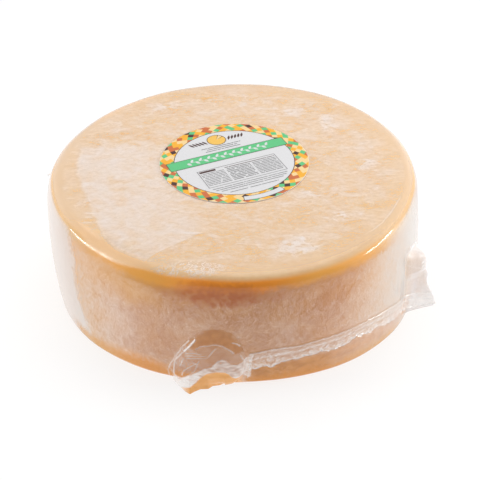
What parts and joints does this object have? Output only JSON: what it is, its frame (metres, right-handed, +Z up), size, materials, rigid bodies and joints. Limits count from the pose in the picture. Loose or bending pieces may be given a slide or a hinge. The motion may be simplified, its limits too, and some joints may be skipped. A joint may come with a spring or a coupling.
{
  "type": "parmesan wheel",
  "caption": "Whole round wheel of hard cheese in a tight clear bag, with a flat seal and ears of film round its side and a round paper label on top.",
  "frame": {"origin": "middle of the flat foot that the wheel rests on", "axes": "+Z up through the wheel, from foot to top; -Y towards the front, where the bag's air pocket and seal are; +X to the right"},
  "size_m": [0.349, 0.344, 0.1143],
  "materials": {
    "cheese": "smooth, slightly waxy rind",
    "clear_film": "clear glossy bag film, hazy where it is doubled",
    "clear_film_back": "clear glossy bag film, hazy where it is doubled",
    "label_paper": "coated label paper with a printed border"
  },
  "bodies": {
    "root": {"cheese_wheel": "cheese", "bag_front_seal": "clear_film", "bag_back_seam": "clear_film_back", "label": "label_paper"}
  },
  "joints": []
}
